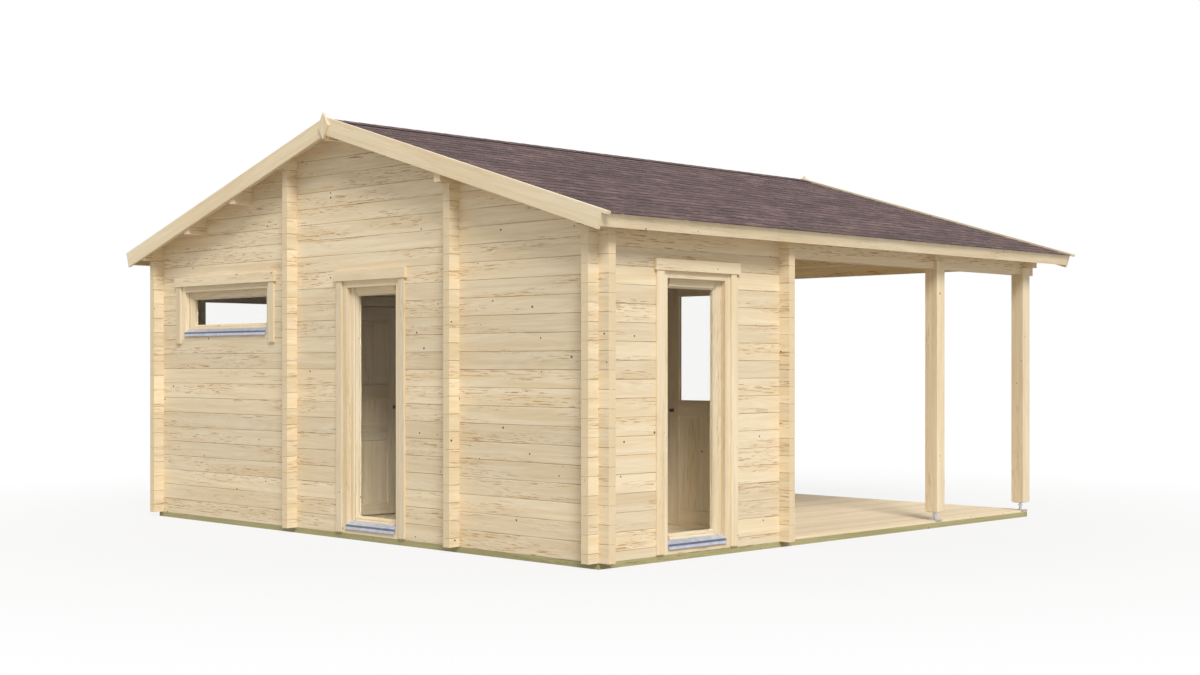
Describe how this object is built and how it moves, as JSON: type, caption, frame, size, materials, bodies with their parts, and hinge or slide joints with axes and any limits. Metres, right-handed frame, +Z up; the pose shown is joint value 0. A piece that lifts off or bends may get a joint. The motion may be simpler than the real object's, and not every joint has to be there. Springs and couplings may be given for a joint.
{
  "type": "sauna cabin",
  "caption": "Log sauna cabin with rooms in a row, a covered terrace under one gable roof, tall and low windows and swinging doors.",
  "frame": {"origin": "middle of the bounding box's bottom, on the ground under the ridge", "axes": "+X along the ridge from the window gable to the terrace, +Y across the ridge from the near eave to the far eave, +Z up"},
  "size_m": [6.31, 6.3783, 3.457],
  "materials": {
    "log_spruce": "planed, untreated",
    "planed_spruce": "planed, untreated",
    "treated_pine": "pressure treated",
    "roof_shingle": "mineral granules on bitumen",
    "window_glass": "clear",
    "sill_aluminium": "mill finish",
    "galvanised_steel": "galvanised",
    "handle_metal": "dark bronze"
  },
  "bodies": {
    "cabin": {"cross_joists": "treated_pine", "rim_joists": "treated_pine", "cabin_floor": "planed_spruce", "terrace_deck": "planed_spruce", "window_gable_wall": "log_spruce", "near_eave_wall": "log_spruce", "far_eave_wall": "log_spruce", "terrace_wall_near": "log_spruce", "terrace_wall_over_door": "log_spruce", "terrace_wall_far": "log_spruce", "sauna_partition_front": "log_spruce", "sauna_partition_over_door": "log_spruce", "sauna_partition_back": "log_spruce", "vestibule_partition_front": "log_spruce", "vestibule_partition_over_door": "log_spruce", "vestibule_partition_back": "log_spruce", "end_gable": "log_spruce", "eave_beams": "log_spruce", "wall_plates": "log_spruce", "cross_tie": "log_spruce", "purlins": "log_spruce", "terrace_posts": "planed_spruce", "post_bases": "galvanised_steel", "near_roof_boards": "planed_spruce", "far_roof_boards": "planed_spruce", "near_shingles": "roof_shingle", "far_shingles": "roof_shingle", "ridge_cap": "roof_shingle", "fascia_boards": "planed_spruce", "near_barge_boards": "planed_spruce", "far_barge_boards": "planed_spruce", "barge_battens": "planed_spruce", "finials": "planed_spruce", "window_frames": "planed_spruce", "window_sashes": "planed_spruce", "window_panes": "window_glass", "window_sills": "sill_aluminium", "opening_casings": "planed_spruce", "door_frames": "planed_spruce", "frame_hinges": "handle_metal"},
    "entrance_door": {"entrance_leaf": "planed_spruce", "entrance_pane": "window_glass", "entrance_fittings": "handle_metal"},
    "sauna_door": {"sauna_leaf": "planed_spruce", "sauna_fittings": "handle_metal"}
  },
  "joints": [
    {"name": "entrance_hinge", "type": "hinge", "parent": "cabin", "child": "entrance_door", "pos_m": [-0.834, -2.479, 1.1], "axis": [0, 0, -1], "range_deg": [0, 100]},
    {"name": "sauna_hinge", "type": "hinge", "parent": "cabin", "child": "sauna_door", "pos_m": [-2.617, 0.66, 1], "axis": [0, 0, -1], "range_deg": [0, 90]}
  ]
}
